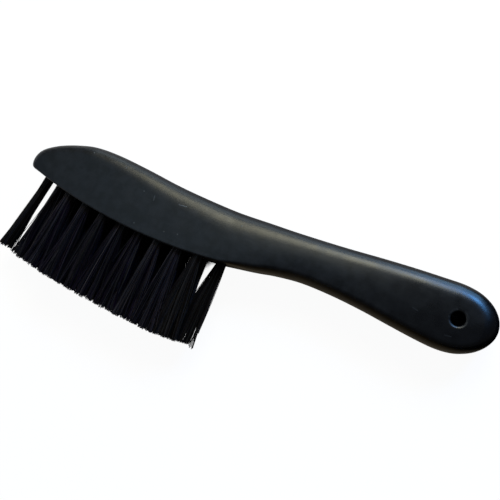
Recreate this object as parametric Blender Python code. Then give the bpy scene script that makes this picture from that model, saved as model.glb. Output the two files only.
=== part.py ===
"""A small table brush: a one-piece wooden board with a swept handle, whose head holds three rows
of tufts. Each tuft is a bundle of filaments folded over a flat metal anchor in a blind hole.

The brush lies on its broad side. +X runs from the toe of the head to the butt of the handle,
+Y away from the bristles and +Z up through the board. Metres.
"""

import math
import random

import bmesh
import bpy
from mathutils import Vector

# Board. Its outline is drawn from the lowest point of the bristle land, where x and y are zero.
THICKNESS = 0.025
HEAD_HEIGHT = 0.0303
LAND_RADIUS = 0.263
LAND_TO_TOE = 0.054
LAND_TO_HEEL = 0.047
NOSE_OVERHANG = 0.0075
HANDLE_LENGTH = 0.1263
HANDLE_RISE = 0.0282
NECK_DEPTH = 0.0216
GRIP_DEPTH = 0.0313
BUTT_REACH = 0.0208

# Nose, from the land's toe end: shares of the overhang and of the head's height
NOSE_SHARES = ((0.47, 0.02), (0.76, 0.046), (0.93, 0.1), (1.0, 0.172), (0.95, 0.25))
# Back of the head: shares of the way from nose to heel, and of the head's height
BACK_SHARES = (
    (0.015, 0.528), (0.042, 0.627), (0.092, 0.746), (0.166, 0.868), (0.249, 0.96),
    (0.364, 0.997), (0.521, 0.987), (0.677, 0.96), (0.825, 0.96), (0.982, 0.98),
)  # fmt: skip
# Handle: shares of the way from heel to widest grip, of its rise, and of the swell from neck to grip
HANDLE_SHARES = (
    (0.142, 0.688, 0.243), (0.236, 0.75, 0.078), (0.358, 0.817, 0.0), (0.5, 0.867, 0.129),
    (0.642, 0.905, 0.39), (0.783, 0.927, 0.69), (0.906, 0.943, 0.91), (1.0, 0.961, 1.0),
)  # fmt: skip
BUTT_ANGLES = (68, 48, 30, 14, 0, -14, -30, -48, -68)

# Rounded edges of the board: how far each one reaches over the face, and how deep down the side
LAND_EDGE = (0.0008, 0.0008)
NOSE_EDGE = (0.0032, 0.0045)
BACK_EDGE = (0.0062, 0.0072)
HANDLE_EDGE = (0.0093, 0.0085)
NOSE_EDGE_SHARES = (0.0, 0.2, 0.6, 1.0, 1.0)
# Where the edge has grown to its full size: shares of the head's back and of the way to the widest grip
BACK_FULL_SHARE = 0.249
HANDLE_FULL_SHARE = 0.236
# The most that the handle's edge may take of the neck's half depth, or of the butt's tightest turn
EDGE_ROOM_SHARE = 0.88
ROUNDING_STEPS = 5
LAND_STEPS = 18
SPAN_STEPS = 4

# Hanging hole through the butt
HANGING_RADIUS = 0.00315
HANGING_EASE = 0.00115
HANGING_FROM_BUTT = 0.0182
HANGING_SIDES = 24

# Tufts: three rows along the land, with one more tuft ahead of the middle row
PITCH = 0.0103
ROW_SPACING = 0.0075
FRONT_PLACES = (-3.5, 3.5)
MIDDLE_PLACES = (-4.5, 4.5)
BACK_PLACES = (-4.5, 3.5)
TOE_TUFT_SPACING = 0.0075
FAN_RADIUS = 0.75
BRISTLE_LENGTH = 0.0408
RAGGEDNESS = 0.0007
TRIM_SEED = 7
TIP_HALF_WIDTH = 0.0048
TIP_GAP = 0.001

# A tuft's hole, and the bundle's root in it
HOLE_RADIUS = 0.0025
HOLE_DEPTH = 0.014
HOLE_SIDES = 12
MOUTH_PROUD = 0.0006
COLUMN_SHARES = (-1.0, -0.65, -0.32, 0.32, 0.65, 1.0)
ROW_SHARES = (-1.0, -0.34, 0.34, 1.0)
STRAND_TIP_SHARE = 0.3

# Anchor: a flat strip whose ends bite into the walls of the hole
ANCHOR_LENGTH = 0.0058
ANCHOR_HEIGHT = 0.0018
ANCHOR_THICKNESS = 0.0003
ANCHOR_FOLD = 0.0009

# Fits and cuts
GAP = 0.0003
OVERRUN = 0.002
SMOOTH_ANGLE = math.radians(35)


def clear_scene():
    for obj in list(bpy.data.objects):
        bpy.data.objects.remove(obj)


def make_material(name, colour, roughness, metallic):
    material = bpy.data.materials.new(name)
    material.use_nodes = True
    shader = material.node_tree.nodes["Principled BSDF"]
    shader.inputs["Base Color"].default_value = (*colour, 1)
    shader.inputs["Roughness"].default_value = roughness
    shader.inputs["Metallic"].default_value = metallic
    return material


def add_object(name, bm, material, parent):
    """Turns a bmesh into a named object under its parent."""
    bmesh.ops.recalc_face_normals(bm, faces=bm.faces)
    mesh = bpy.data.meshes.new(name)
    bm.to_mesh(mesh)
    bm.free()
    mesh.shade_smooth()
    mesh.set_sharp_from_angle(angle=SMOOTH_ANGLE)
    if material:
        mesh.materials.append(material)
    obj = bpy.data.objects.new(name, mesh)
    obj.parent = parent
    bpy.context.scene.collection.objects.link(obj)
    return obj


def loft(bm, rings):
    """Joins rings of points, each with as many points, into one closed solid."""
    levels = [[bm.verts.new(point) for point in ring] for ring in rings]
    bm.faces.new(levels[0])
    bm.faces.new(levels[-1])
    for low, high in zip(levels, levels[1:]):
        for i in range(len(low)):
            bm.faces.new((low[i - 1], low[i], high[i], high[i - 1]))


def cut(obj, name, cutter_bm):
    """Takes a closed shape out of an object with a Boolean, and hides the cutter."""
    cutter = add_object(name, cutter_bm, None, obj.parent)
    cutter.hide_render = True
    cutter.display_type = "WIRE"
    modifier = obj.modifiers.new(name, "BOOLEAN")
    modifier.operation = "DIFFERENCE"
    modifier.solver = "EXACT"
    modifier.object = cutter


def arc_rise(x, radius):
    """How far an arc that is lowest at zero has risen at x."""
    return radius - math.sqrt(radius * radius - x * x)


def land_arc():
    """The bristle land, from heel to toe."""
    points = []
    for i in range(LAND_STEPS + 1):
        x = LAND_TO_HEEL - (LAND_TO_HEEL + LAND_TO_TOE) * i / LAND_STEPS
        points.append((x, arc_rise(x, LAND_RADIUS), *LAND_EDGE))
    return points


def blend(first, second, share):
    """A pair of sizes, the given share of the way from the first pair to the second."""
    return [a + (b - a) * share for a, b in zip(first, second)]


def nose_points():
    toe_rise = arc_rise(LAND_TO_TOE, LAND_RADIUS)
    points = []
    for (along, up), edge_share in zip(NOSE_SHARES, NOSE_EDGE_SHARES):
        x = -LAND_TO_TOE - NOSE_OVERHANG * along
        points.append((x, toe_rise + HEAD_HEIGHT * up, *blend(LAND_EDGE, NOSE_EDGE, edge_share)))
    return points


def back_points():
    nose = -LAND_TO_TOE - NOSE_OVERHANG
    points = []
    for along, up in BACK_SHARES:
        edge = blend(NOSE_EDGE, BACK_EDGE, min(1.0, along / BACK_FULL_SHARE))
        points.append((nose + (LAND_TO_HEEL - nose) * along, HEAD_HEIGHT * up, *edge))
    return points


def handle_edge():
    """The handle's rounded edge, as far over the face as the neck and the butt have room for."""
    reach, depth = HANDLE_EDGE
    room = min(NECK_DEPTH / 2, (GRIP_DEPTH / 2) ** 2 / BUTT_REACH)
    return min(reach, room * EDGE_ROOM_SHARE), depth


def handle_points(side):
    """One edge of the handle, heel to widest grip: side is +1 for the back, -1 for the underside."""
    widest = HANDLE_LENGTH - BUTT_REACH
    start = BACK_EDGE if side > 0 else LAND_EDGE
    points = []
    for along, rise, swell in HANDLE_SHARES:
        half_depth = (NECK_DEPTH + (GRIP_DEPTH - NECK_DEPTH) * swell) / 2
        y = HANDLE_RISE * rise + side * half_depth
        edge = blend(start, handle_edge(), min(1.0, along / HANDLE_FULL_SHARE))
        points.append((LAND_TO_HEEL + widest * along, y, *edge))
    return points


def butt_points():
    """The half ellipse that ends the handle, from its back round to its underside."""
    widest = LAND_TO_HEEL + HANDLE_LENGTH - BUTT_REACH
    middle = HANDLE_RISE * HANDLE_SHARES[-1][1]
    points = []
    for degrees in BUTT_ANGLES:
        angle = math.radians(degrees)
        spine = middle + (HANDLE_RISE - middle) * math.cos(angle)
        x = widest + BUTT_REACH * math.cos(angle)
        points.append((x, spine + GRIP_DEPTH / 2 * math.sin(angle), *handle_edge()))
    return points


def curve_between(before, start, end, after, share):
    """A point of the smooth curve through four points; the edge sizes run straight from start to end."""
    point = []
    for axis in (0, 1):
        a, b, c, d = before[axis], start[axis], end[axis], after[axis]
        bend = 2 * a - 5 * b + 4 * c - d
        twist = 3 * b - 3 * c + d - a
        point.append(b + share / 2 * (c - a + share * (bend + share * twist)))
    return (*point, *blend(start[2:], end[2:], share))


def board_outline():
    """The closed outline: x, y, and how far the edge reaches over the face and down the side."""
    land = land_arc()
    drawn = nose_points() + back_points() + handle_points(1) + butt_points() + handle_points(-1)[::-1]
    chain = land[-2:] + drawn + land[:2]
    outline = land[:-1]
    for i in range(1, len(chain) - 2):
        for step in range(SPAN_STEPS):
            outline.append(curve_between(*chain[i - 1 : i + 3], step / SPAN_STEPS))
    return outline


def board_rings():
    """Level rings up through the board, drawn in over each face by its elliptical edge."""
    outline = board_outline()
    inward = []
    for i, point in enumerate(outline):
        ahead = outline[(i + 1) % len(outline)]
        along = Vector((ahead[0] - outline[i - 1][0], ahead[1] - outline[i - 1][1])).normalized()
        inward.append((along.y, -along.x))
    angles = [math.pi / 2 * step / ROUNDING_STEPS for step in range(ROUNDING_STEPS + 1)]
    rings = []
    for side, order in ((-1, reversed(angles)), (1, angles)):
        for angle in order:
            ring = []
            for (x, y, reach, depth), normal in zip(outline, inward):
                inset = reach * (1 - math.cos(angle))
                z = THICKNESS / 2 + side * (THICKNESS / 2 - depth + depth * math.sin(angle))
                ring.append((x + normal[0] * inset, y + normal[1] * inset, z))
            rings.append(ring)
    return rings


def circle(centre, radius, sides):
    """A level ring of points round a centre."""
    x, y, z = centre
    turns = [2 * math.pi * i / sides for i in range(sides)]
    return [(x + radius * math.cos(turn), y + radius * math.sin(turn), z) for turn in turns]


def hanging_hole():
    """The bore through the butt, with an eased rim on both faces."""
    x = LAND_TO_HEEL + HANDLE_LENGTH - HANGING_FROM_BUTT
    y = HANDLE_RISE * HANDLE_SHARES[-1][1]
    wide = HANGING_RADIUS + HANGING_EASE + OVERRUN
    levels = (
        (wide, -OVERRUN),
        (HANGING_RADIUS, HANGING_EASE),
        (HANGING_RADIUS, THICKNESS - HANGING_EASE),
        (wide, THICKNESS + OVERRUN),
    )
    bm = bmesh.new()
    loft(bm, [circle((x, y, z), radius, HANGING_SIDES) for radius, z in levels])
    return bm


class Tuft:
    """One tuft's place: its mouth on the land, its lean, and the room that its tips have."""

    def __init__(self, row, number, x, z, room):
        self.name = f"{row}_{number}"
        self.mouth = Vector((x, arc_rise(x, LAND_RADIUS), z))
        self.lean = x / FAN_RADIUS
        self.half_width = min(TIP_HALF_WIDTH, (room - TIP_GAP) / 2)
        self.half_depth = (ROW_SPACING - TIP_GAP) / 2

    def point(self, across, out, up):
        """A place counted from the mouth: across the tuft, out of the hole and up."""
        along = Vector((math.sin(self.lean), -math.cos(self.lean), 0))
        side = Vector((math.cos(self.lean), math.sin(self.lean), 0))
        return self.mouth + side * across + along * out + Vector((0, 0, up))


def tufts():
    rows = (("front", 1, FRONT_PLACES), ("middle", 0, MIDDLE_PLACES), ("back", -1, BACK_PLACES))
    found = []
    for row, side, (first, last) in rows:
        places = [(first + i) * PITCH for i in range(round(last - first) + 1)]
        if row == "middle":
            places.insert(0, places[0] - TOE_TUFT_SPACING)
        for i, x in enumerate(places):
            spacing = min(abs(x - other) for other in places if other != x)
            room = spacing * (1 + BRISTLE_LENGTH / FAN_RADIUS)
            found.append(Tuft(row, i + 1, x, THICKNESS / 2 + side * ROW_SPACING, room))
    return found


def hole_cutter(places):
    bm = bmesh.new()
    for tuft in places:
        rings = []
        for out in (-HOLE_DEPTH, OVERRUN):
            flat = circle((0, 0, out), HOLE_RADIUS, HOLE_SIDES)
            rings.append([tuft.point(across, out, up) for across, up, out in flat])
        loft(bm, rings)
    return bm


def add_strip(bm, tuft, clearance):
    """A tuft's anchor, or with a clearance the space that it needs."""
    half_length = ANCHOR_LENGTH / 2 + clearance
    half_height = ANCHOR_HEIGHT / 2 + clearance
    half_thickness = ANCHOR_THICKNESS / 2 + clearance
    middle = GAP + ANCHOR_FOLD + GAP + ANCHOR_HEIGHT / 2 - HOLE_DEPTH
    rings = []
    for out in (middle - half_height, middle + half_height):
        corners = ((-1, -1), (1, -1), (1, 1), (-1, 1))
        rings.append([tuft.point(half_thickness * a, out, half_length * b) for a, b in corners])
    loft(bm, rings)


def slot_cutter(places):
    bm = bmesh.new()
    for tuft in places:
        add_strip(bm, tuft, GAP)
    return bm


def add_anchor(tuft, material, parent):
    bm = bmesh.new()
    add_strip(bm, tuft, 0)
    return add_object(f"anchor_{tuft.name}", bm, material, parent)


def on_disc(column, row):
    """Takes a place in a square to the same place in a round bundle."""
    return column * math.sqrt(1 - row * row / 2), row * math.sqrt(1 - column * column / 2)


def bundle_edge():
    """The places round the bundle's grid, in order, as column and row numbers."""
    last_column = len(COLUMN_SHARES) - 1
    last_row = len(ROW_SHARES) - 1
    edge = [(i, 0) for i in range(last_column)]
    edge += [(last_column, j) for j in range(last_row)]
    edge += [(i, last_row) for i in range(last_column, 0, -1)]
    edge += [(0, j) for j in range(last_row, 0, -1)]
    return edge


def trim_height(x):
    """Where the bristles are cut off, along an arc that follows the land."""
    return arc_rise(x, LAND_RADIUS + BRISTLE_LENGTH) - BRISTLE_LENGTH


def strand_tip(tuft, corner, middle, extra):
    """One corner of a strand's cut end, on the trim line."""
    place = [m + (c - m) * STRAND_TIP_SHARE for c, m in zip(corner, middle)]
    across = place[0] * tuft.half_width
    up = place[1] * tuft.half_depth
    reach = tuft.mouth.y + BRISTLE_LENGTH
    trim = trim_height(tuft.point(across, reach, up).x)
    level = tuft.point(across, 0, up).y
    return tuft.point(across, (level - trim + extra) / math.cos(tuft.lean), up)


def add_root(bm, tuft, radius):
    """The round root of the bundle, with the window that the anchor passes through. Returns its mouth."""
    deepest = GAP - HOLE_DEPTH
    window_low = deepest + ANCHOR_FOLD
    levels = (deepest, window_low, window_low + ANCHOR_HEIGHT + 2 * GAP, MOUTH_PROUD)
    edge = bundle_edge()
    rings = []
    for out in levels:
        ring = {}
        for i, j in edge:
            across, up = on_disc(COLUMN_SHARES[i], ROW_SHARES[j])
            ring[i, j] = bm.verts.new(tuft.point(across * radius, out, up * radius))
        rings.append(ring)
    bm.faces.new([rings[0][place] for place in edge])
    middle = len(COLUMN_SHARES) // 2
    windows = [((middle - 1, j), (middle, j)) for j in (0, len(ROW_SHARES) - 1)]
    for level, (low, high) in enumerate(zip(rings, rings[1:])):
        for k, place in enumerate(edge):
            if level == 1 and tuple(sorted((edge[k - 1], place))) in windows:
                continue
            bm.faces.new((low[edge[k - 1]], low[place], high[place], high[edge[k - 1]]))
    loops = []
    for left, right in windows:
        loops.append([rings[1][left], rings[1][right], rings[2][right], rings[2][left]])
    for k in range(len(loops[0])):
        bm.faces.new((loops[0][k - 1], loops[0][k], loops[1][k], loops[1][k - 1]))
    return rings[-1]


def add_strands(bm, tuft, mouth, radius, chance):
    """One strand out of each cell of the bundle's grid, straight and spreading to its tip."""
    grid = dict(mouth)
    for i, column in enumerate(COLUMN_SHARES):
        for j, row in enumerate(ROW_SHARES):
            if (i, j) not in grid:
                across, up = on_disc(column, row)
                grid[i, j] = bm.verts.new(tuft.point(across * radius, MOUTH_PROUD, up * radius))
    for i in range(len(COLUMN_SHARES) - 1):
        for j in range(len(ROW_SHARES) - 1):
            cell = ((i, j), (i + 1, j), (i + 1, j + 1), (i, j + 1))
            corners = [on_disc(COLUMN_SHARES[a], ROW_SHARES[b]) for a, b in cell]
            middle = [sum(values) / len(values) for values in zip(*corners)]
            extra = chance.uniform(-RAGGEDNESS, 0)
            tips = [bm.verts.new(strand_tip(tuft, corner, middle, extra)) for corner in corners]
            bm.faces.new(tips)
            for k in range(len(cell)):
                bm.faces.new((grid[cell[k - 1]], grid[cell[k]], tips[k], tips[k - 1]))


def add_tuft(tuft, material, parent, chance):
    radius = HOLE_RADIUS * math.cos(math.pi / HOLE_SIDES) - GAP
    bm = bmesh.new()
    mouth = add_root(bm, tuft, radius)
    add_strands(bm, tuft, mouth, radius, chance)
    return add_object(f"tuft_{tuft.name}", bm, material, parent)


def add_board(places, material, parent):
    bm = bmesh.new()
    loft(bm, board_rings())
    board = add_object("board", bm, material, parent)
    cut(board, "tuft_holes", hole_cutter(places))
    cut(board, "anchor_slots", slot_cutter(places))
    cut(board, "hanging_hole", hanging_hole())
    return board


def rest_on_origin(root, pieces):
    """Moves the brush so that the middle of its lower side is at the origin."""
    points = [vertex.co for piece in pieces for vertex in piece.data.vertices]
    for axis in (0, 1):
        values = [point[axis] for point in points]
        root.location[axis] = -(min(values) + max(values)) / 2
    root.location.z = -min(point.z for point in points)


def main():
    clear_scene()
    lacquer = make_material("black_lacquer", (0.013, 0.015, 0.018), 0.34, 0.0)
    nylon = make_material("black_bristle", (0.006, 0.006, 0.008), 0.42, 0.0)
    steel = make_material("anchor_steel", (0.55, 0.55, 0.53), 0.35, 1.0)
    root = bpy.data.objects.new("brush", None)
    bpy.context.scene.collection.objects.link(root)
    places = tufts()
    chance = random.Random(TRIM_SEED)
    pieces = [add_board(places, lacquer, root)]
    for tuft in places:
        pieces.append(add_anchor(tuft, steel, root))
        pieces.append(add_tuft(tuft, nylon, root, chance))
    rest_on_origin(root, pieces)


main()
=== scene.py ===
"""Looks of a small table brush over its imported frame: a wooden board in black satin lacquer, and
tufts of black nylon filaments on steel anchors.

Metres, in the frame's own axes: +X runs from the toe of the head to the butt of the handle, +Y away
from the bristles and +Z up through the board, which lies on its broad side.
"""

import math
import random

import bmesh
import bpy
from mathutils import Matrix, Vector


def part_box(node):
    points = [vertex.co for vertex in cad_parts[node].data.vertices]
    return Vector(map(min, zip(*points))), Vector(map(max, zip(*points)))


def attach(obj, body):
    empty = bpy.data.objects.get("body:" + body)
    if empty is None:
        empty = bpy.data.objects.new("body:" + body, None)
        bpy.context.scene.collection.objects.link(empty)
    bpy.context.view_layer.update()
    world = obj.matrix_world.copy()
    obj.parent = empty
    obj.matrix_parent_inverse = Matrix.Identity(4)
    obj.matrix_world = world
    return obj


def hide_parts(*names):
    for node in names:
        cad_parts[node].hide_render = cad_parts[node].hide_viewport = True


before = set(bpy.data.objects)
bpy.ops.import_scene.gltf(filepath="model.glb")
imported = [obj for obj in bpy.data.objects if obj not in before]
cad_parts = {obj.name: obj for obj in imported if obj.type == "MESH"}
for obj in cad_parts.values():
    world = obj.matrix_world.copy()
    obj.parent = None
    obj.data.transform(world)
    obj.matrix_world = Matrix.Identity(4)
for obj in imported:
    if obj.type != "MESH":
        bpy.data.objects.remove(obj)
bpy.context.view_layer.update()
MM = 0.001

# Board, in the sizes of its solid. Its outline is drawn from the lowest point of the bristle land.
THICKNESS = 25.0 * MM
HEAD_HEIGHT = 30.3 * MM
LAND_RADIUS = 263 * MM
LAND_TO_TOE = 54 * MM
LAND_TO_HEEL = 47 * MM
NOSE_OVERHANG = 7.5 * MM
HANDLE_LENGTH = 126.3 * MM
HANDLE_RISE = 28.2 * MM
NECK_DEPTH = 21.6 * MM
GRIP_DEPTH = 31.3 * MM
BUTT_REACH = 20.8 * MM
# Points of the outline, as shares of the sizes that they follow: along the nose's overhang and up the
# head, with which of them is the tip, along the head and up it, and along the handle, up its rise and
# from its neck's depth to its grip's
NOSE_SHARES = ((0.47, 0.02), (0.76, 0.046), (0.93, 0.1), (1.0, 0.172), (0.95, 0.25))
NOSE_TIP = 3
BACK_SHARES = (
    (0.015, 0.528), (0.042, 0.627), (0.092, 0.746), (0.166, 0.868), (0.249, 0.96),
    (0.364, 0.997), (0.521, 0.987), (0.677, 0.96), (0.825, 0.96), (0.982, 0.98),
)  # fmt: skip
HANDLE_SHARES = (
    (0.142, 0.688, 0.243), (0.236, 0.75, 0.078), (0.358, 0.817, 0.0), (0.5, 0.867, 0.129),
    (0.642, 0.905, 0.39), (0.783, 0.927, 0.69), (0.906, 0.943, 0.91), (1.0, 0.961, 1.0),
)  # fmt: skip
BUTT_ANGLES = (68, 48, 30, 14, 0, -14, -30, -48, -68)

# Rounded edges of the board: how far each one reaches over the face, how deep it goes down the side,
# and the power of its curve, which is 2 for an ellipse and more for a squarer shoulder. The nose's edge
# grows along the nose, the handle's edges are full from a share of its length on, and round the butt the
# underside's edge turns into the back's
LAND_EDGE = (0.8 * MM, 0.8 * MM, 2.0)
NOSE_EDGE = (3.6 * MM, 4.4 * MM, 1.7)
BACK_EDGE = (12.4 * MM, 8.0 * MM, 2.4)
HANDLE_BACK_EDGE = (7.8 * MM, 6.8 * MM, 2.4)
HEEL_EDGE = (1.5 * MM, 2.5 * MM, 2.0)
UNDERSIDE_EDGE = (3.9 * MM, 9.5 * MM, 1.4)
NOSE_EDGE_SHARES = (0.1, 0.45, 0.8, 1.0, 1.0)
BUTT_EDGE_TURN = (-0.8, 0.1)
HANDLE_FULL_SHARE = 0.34
# Crown of the broad faces: how steeply they fall to their edges on the head, on the handle's waist and
# on the butt, and where along the head and the handle one turns into the next
HEAD_CROWN_SLOPE = 0.02
HANDLE_CROWN_SLOPE = 0.175
BUTT_CROWN_SLOPE = 0.07
CROWN_START_SHARE = 0.6
BUTT_CROWN_SPAN = (0.3, 0.75)

# Fineness of the board's skin
CURVE_STEPS = 12
LAND_STEPS = 144
SIDE_STEPS = 300
ROUNDING_STEPS = 10
FACE_STEPS = 20
WALL_STEPS = 8

# Hanging hole through the butt
HANGING_RADIUS = 3.15 * MM
HANGING_EASE = 1.15 * MM
HANGING_FROM_BUTT = 18.2 * MM
HANGING_SIDES = 64
HANGING_EASE_STEPS = 6

# Tufts, in the places of their solids. A row has its side of the board's middle, the place of its first
# tuft in pitches and its count, to which the middle row adds the toe's lone tuft
PITCH = 10.3 * MM
ROW_SPACING = 7.5 * MM
ROWS = (("front", 1, -3.5, 8), ("middle", 0, -4.5, 10), ("back", -1, -4.5, 9))
TOE_TUFT_SPACING = 7.5 * MM
FAN_RADIUS = 750 * MM
BRISTLE_LENGTH = 40.8 * MM
TIP_HALF_DEPTH = 3.9 * MM
HOLE_RADIUS = 2.5 * MM
HOLE_DEPTH = 14 * MM
HOLE_SIDES = 32

# How the tufts spread to their tips: the drift of the tips along the row, their half width there, the
# power of the spread on the toe side and how far the filaments bow to the heel. The bow is full on the
# toe side and ends at a share of the way from the middle to the heel side, where plain tufts have a
# power of their own
PLAIN_SPREAD = (0.0, 6.2 * MM, 0.95, 0.0)
SPREADS = {
    "middle_1": (-2.8 * MM, 2.7 * MM, 1.7, 0.0),
    "middle_2": (0.0, 5.4 * MM, 2.4, 0.0),
    "middle_10": (-1.0 * MM, 4.7 * MM, 1.0, 0.0),
    "middle_11": (-2.0 * MM, 4.9 * MM, 0.65, -1.9 * MM),
    "back_1": (0.0, 5.4 * MM, 2.4, 0.0),
    "back_9": (-2.3 * MM, 3.6 * MM, 1.0, 0.0),
}
BOWED_FROM_SHARE = 0.45
HEEL_FLARE = 1.4
# Tufts pressed towards the toe where they leave their hole, and by what share of their radius
PRESSED_TUFTS = {"back_9": 0.2}
# Tufts that have gone brown, at both ends of the head
BROWN_TUFTS = ("middle_1", "front_8", "middle_10", "back_9", "middle_11")
BROWN_SHARE = 0.7
# Single hairs that stand off the lone end tufts: their place at the tip, and how much longer they are
LONE_HAIRS = {
    "middle_1": ((3.9 * MM, 0.0), (4.5 * MM, 0.0), (5.3 * MM, 0.0)),
    "middle_11": (
        (2.7 * MM, 0.2 * MM), (3.2 * MM, 0.9 * MM), (3.8 * MM, 0.4 * MM), (4.4 * MM, 1.2 * MM),
        (4.8 * MM, 0.7 * MM),
    ),
}  # fmt: skip
LONE_HAIR_TURN = 0.35
LONE_LOOSENESS = 0.35
LONE_HAIR_RADIUS = 0.2 * MM
# The heel side of the last tuft is worn short: from where across it, and by how much at its edge
WORN_TUFTS = {"middle_11": (0.4, 8.0 * MM)}

# Filaments, which are drawn towards their locks: their number, size and root, and how the locks and
# the single filaments differ in tone, drift, bow and length. A few filaments stray further
SEED = 11
FILAMENTS = 190
FILAMENT_RADIUS = 0.15 * MM
FILAMENT_PLAY = (0.85, 1.1)
FILAMENT_SIDES = 4
FILAMENT_STEPS = 7
ROOT_DEPTH = 9 * MM
BUNDLE_RADIUS = 2.35 * MM
LOCKS = 22
LOCK_PULL = 0.55
PALE_LOCK_SHARE = 0.18
PALE_LOCK_RANGE = (0.5, 1.0)
# Share by which filaments on a tuft's toe flank are paler: a painted highlight, as if light fell on that
# side
LIT_FLANK_SHARE = 0.3
LOCK_DRIFT = 1.0 * MM
LOCK_BOW = 0.6 * MM
LOCK_TRIM = 0.25 * MM
TIP_SCATTER = 0.3 * MM
STRAY_SHARE = 0.08
STRAY_SCATTER = 1.9 * MM
BOW = 0.3 * MM
RAGGEDNESS = 1.1 * MM
GOLDEN_ANGLE = math.radians(137.508)
# How far inside the board's thickness all filaments stay
SIDE_PLAY = 0.15 * MM
# What a filament keeps for its material: how pale it is, with the painted highlight on the toe flank, how
# brown it is, and how far out a place lies
TONE_LAYERS = ("pale", "brown", "out")

# The cut line climbs a little towards the toe, rises in the middle, where the brush is worn, and drops
# at the toe's lone tuft; and the tips part at three places
TRIM_TILT = 0.02
TRIM_WEAR = 0.9 * MM
TRIM_WEAR_HALF = 30 * MM
TOE_DROP = 1.7 * MM
TOE_DROP_SPAN = (45.5 * MM, 48.5 * MM)
PARTINGS = ((18.8 * MM, 2.8 * MM), (27.7 * MM, 1.2 * MM), (40.5 * MM, 1.5 * MM))
PARTING_HALF_WIDTH = 0.45 * MM
PARTING_SLANT = 0.3

# How far cutting solids reach past what they cut, and which edges stay sharp in the shading
OVERRUN = 2 * MM
SMOOTH_ANGLE = math.radians(35)

# Colours of the finishes
LACQUER_DEEP = (0.0006, 0.0007, 0.0009, 1)
LACQUER_DUSTY = (0.0036, 0.0036, 0.004, 1)
POLISHED_LACQUER = (0.0007, 0.0007, 0.0009, 1)
WORN_LACQUER = (0.0045, 0.0042, 0.0038, 1)
DUST = (0.09, 0.09, 0.085, 1)
VIOLET_BLACK = (0.0039, 0.0016, 0.0043, 1)
DEEP_BLACK = (0.0006, 0.0004, 0.0005, 1)
BROWN_BLACK = (0.004, 0.0024, 0.0014, 1)
END_BLACK = (0.003, 0.0021, 0.001, 1)
PALE_STRAND = (0.018, 0.0138, 0.0145, 1)
BRIGHT_STEEL = (0.6, 0.6, 0.58, 1)
DULL_STEEL = (0.42, 0.41, 0.4, 1)
LACQUER_IOR = 1.3
NYLON_IOR = 1.2

# Patterns of the finishes. A scale is how many patches, lines or cells go to a metre, and a dust speck's
# size is a share of its cell
LACQUER_TONE = {"Scale": 260, "Low": 0.0, "High": 1.0}
LACQUER_ROUGHNESS = {"Scale": 150, "Low": 0.31, "High": 0.37}
LACQUER_DUST = {"Scale": 420, "Size": 0.09, "Share": 0.035}
WEAR_TONE = {"Scale": 700, "Low": 0.1, "High": 1.0}
WOOD_GRAIN = {"Stretch": (0.09, 1, 1), "Scale": 800, "Height": 0.012 * MM}
SPRAY_PEEL = {"Stretch": (1, 1, 1), "Scale": 520, "Height": 0.012 * MM}
NYLON_TONE = {"Scale": 120, "Low": 0.4, "High": 1.0}
NYLON_DUST = {"Scale": 500, "Size": 0.1, "Share": 0.02}
NYLON_GRAIN = {"Stretch": (1, 0.05, 1), "Scale": 9000, "Height": 0.004 * MM}
STEEL_TONE = {"Scale": 900, "Low": 0.0, "High": 1.0}
STEEL_ROUGHNESS = {"Scale": 1500, "Low": 0.25, "High": 0.45}
STEEL_GRAIN = {"Stretch": (0.1, 1, 1), "Scale": 8000, "Height": 0.003 * MM}
TONE_DETAIL = 3.0
TONE_SPAN = (0.3, 0.7)
GRAIN_DETAIL = 4.0

# Handling marks on the upper face, from the same point as the board's outline: the places of specks,
# and both ends of scratches with how strongly each one shows
SPECKS = (
    (-32.8 * MM, 25.8 * MM), (-14.2 * MM, 25.7 * MM), (-0.6 * MM, 19.1 * MM), (2.0 * MM, 3.4 * MM),
    (17.4 * MM, 5.8 * MM), (24.0 * MM, 7.4 * MM), (50.0 * MM, 23.9 * MM),
)  # fmt: skip
SCRATCHES = (
    (18.2 * MM, 20.3 * MM, 22.0 * MM, 21.0 * MM, 1.0),
    (5.3 * MM, 19.2 * MM, 5.8 * MM, 17.0 * MM, 0.5),
    (135.5 * MM, 23.2 * MM, 138.2 * MM, 22.8 * MM, 0.15),
    (152.8 * MM, 18.2 * MM, 155.5 * MM, 18.7 * MM, 0.15),
)
# How wide the marks are, how much of the dust's colour they and the dust show, and how much rougher and
# higher than the lacquer the marks are
SPECK_WIDTH = 0.4 * MM
SCRATCH_WIDTH = 0.25 * MM
SPECK_SHARE = 0.7
MARK_SHARE = 0.4
MARK_ROUGHNESS = 0.2
MARK_HEIGHT = 0.02 * MM
LACQUER_DUST_SHARE = 0.5
NYLON_DUST_SHARE = 0.3
# Marks and wear belong to the upper face, and fade in over this height above the board's middle
UPPER_FADE = 1 * MM

# Where along the handle the grip is polished by hands, how much smoother that makes it, and how much
# rougher the wear round the hanging hole is
POLISHED_SPAN = (0.3, 0.85)
POLISH = 0.055
WORN_ROUGHNESS = 0.16

# How the filaments differ. Each has a number of its own from nothing to one: the spans in which they turn
# lighter, browner or glinting, how much glints show, how much of the pale layer shows from the tips to
# the roots, where more of it shows as a painted highlight, and the roughness of the dullest and the
# shiniest filament
LIGHT_SPAN = (0.25, 0.85)
BROWN_SPAN = (0.15, 0.1)
GLINT_SPAN = (0.93, 0.97)
GLINT_SHARE = 0.45
LIT_ROOT_SHARES = (0.7, 0.9)
NYLON_ROUGHNESS = (0.45, 0.25)

# Camera, with its focal length and the width of its picture in pixels and its sensor in millimetres
CAMERA_ROLL = math.radians(25)
CAMERA_YAW = math.radians(10)
CAMERA_PITCH = math.radians(8)
CAMERA_DISTANCE = 0.35
FOCAL_PIXELS = 732.2
PICTURE_PIXELS = 500
SENSOR_WIDTH = 36
VIEW_CENTRE = Vector((0.04 * MM, 15.03 * MM, 12.5 * MM))

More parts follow.
